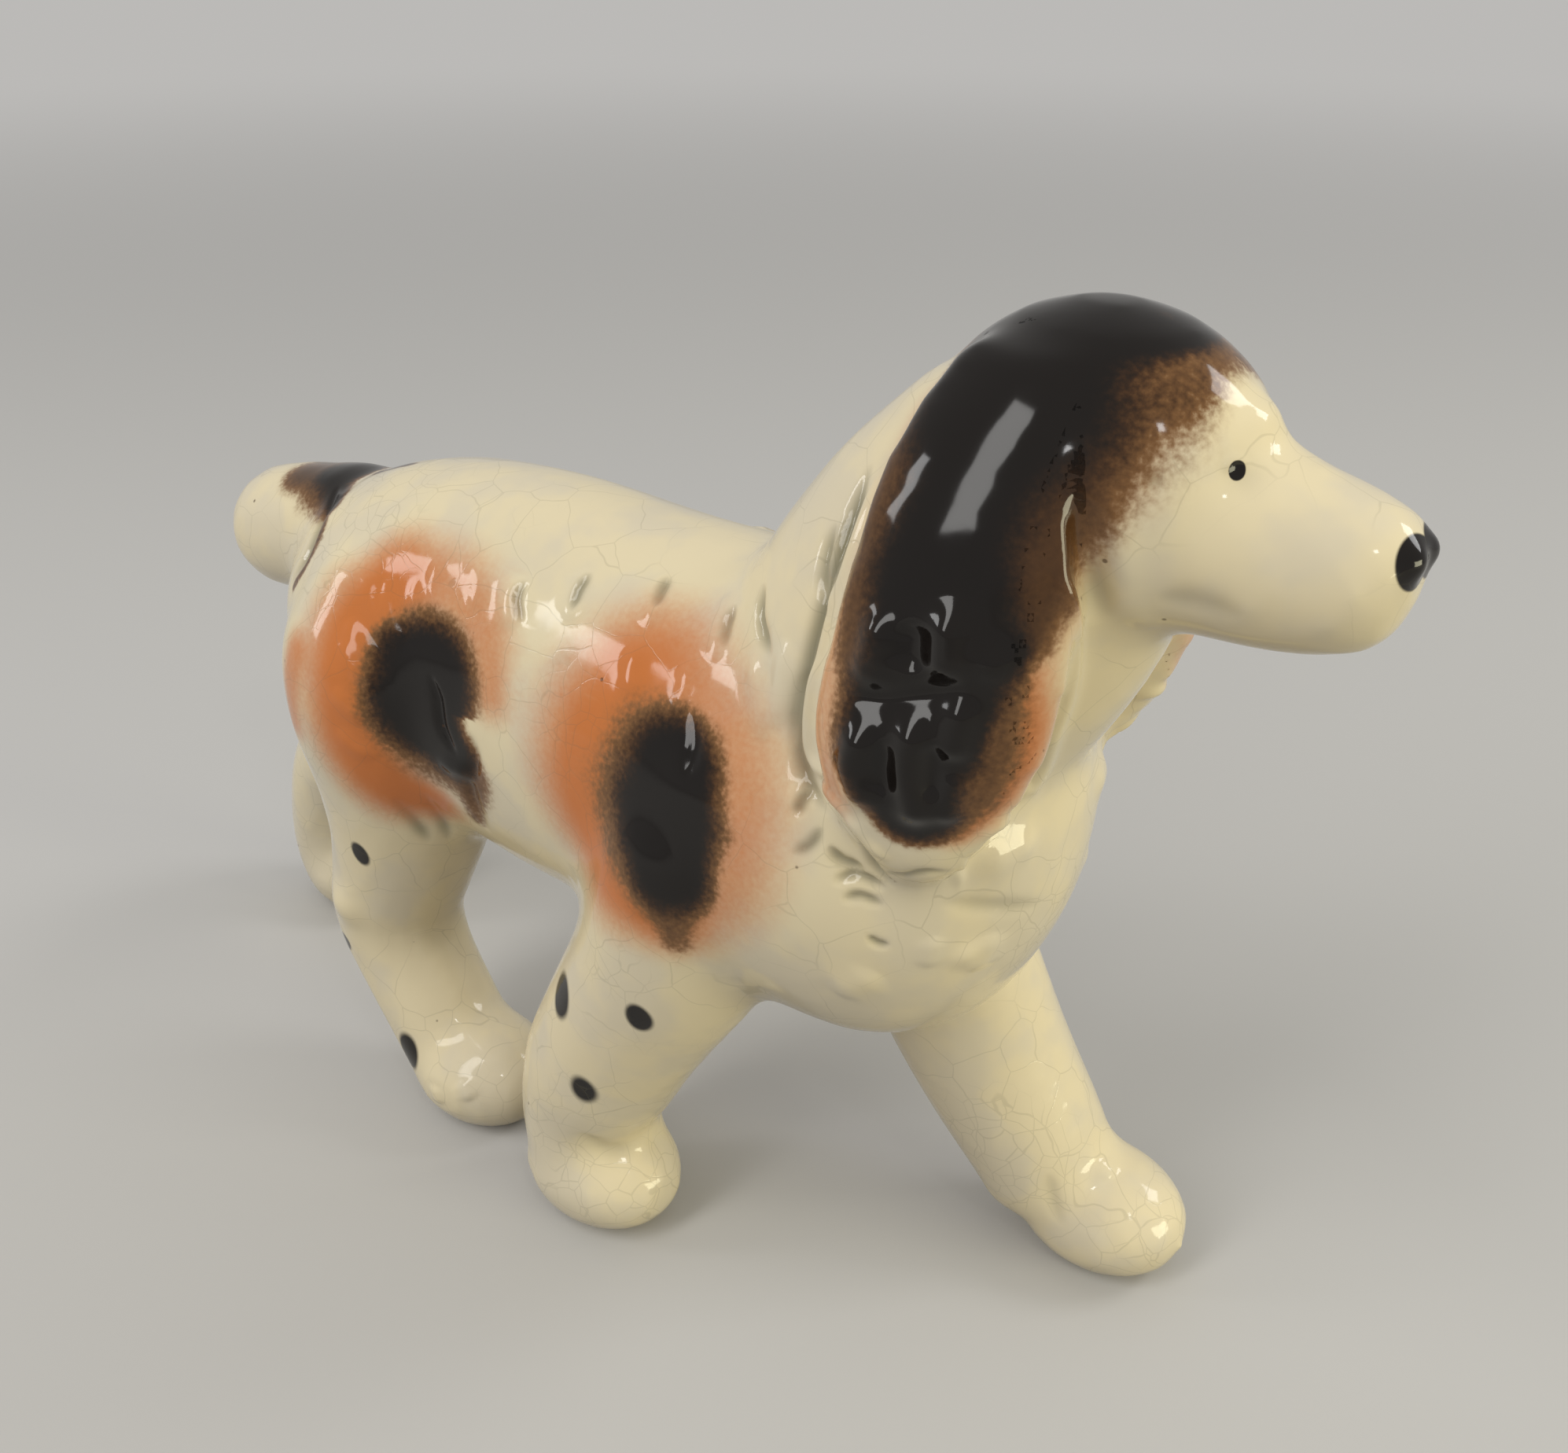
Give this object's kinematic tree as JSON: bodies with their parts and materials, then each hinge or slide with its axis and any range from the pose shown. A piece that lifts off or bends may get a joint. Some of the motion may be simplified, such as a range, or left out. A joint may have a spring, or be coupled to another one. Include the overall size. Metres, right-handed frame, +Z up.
{
  "type": "dog figure",
  "caption": "Walking spaniel figure in hollow glazed earthenware, cream with airbrushed black and orange patches, standing on its four paws.",
  "frame": {"origin": "under the middle of the figure, at the level of the four soles", "axes": "+X towards the nose, +Y towards the dog's left side, +Z up"},
  "size_m": [0.1939, 0.0565, 0.138],
  "materials": {
    "cream_glaze": "gloss",
    "ear_glaze": "gloss",
    "slip_seam": "gloss"
  },
  "bodies": {
    "root": {"body_shell": "cream_glaze", "head_shell": "cream_glaze", "neck_slip": "slip_seam", "ear_right": "ear_glaze", "ear_left": "ear_glaze", "foreleg_right": "cream_glaze", "foreleg_left": "cream_glaze", "hind_leg_right": "cream_glaze", "hind_leg_left": "cream_glaze", "foreleg_right_slip": "slip_seam", "foreleg_left_slip": "slip_seam", "hind_leg_right_slip": "slip_seam", "hind_leg_left_slip": "slip_seam", "tail": "cream_glaze", "tail_slip": "slip_seam"}
  },
  "joints": []
}
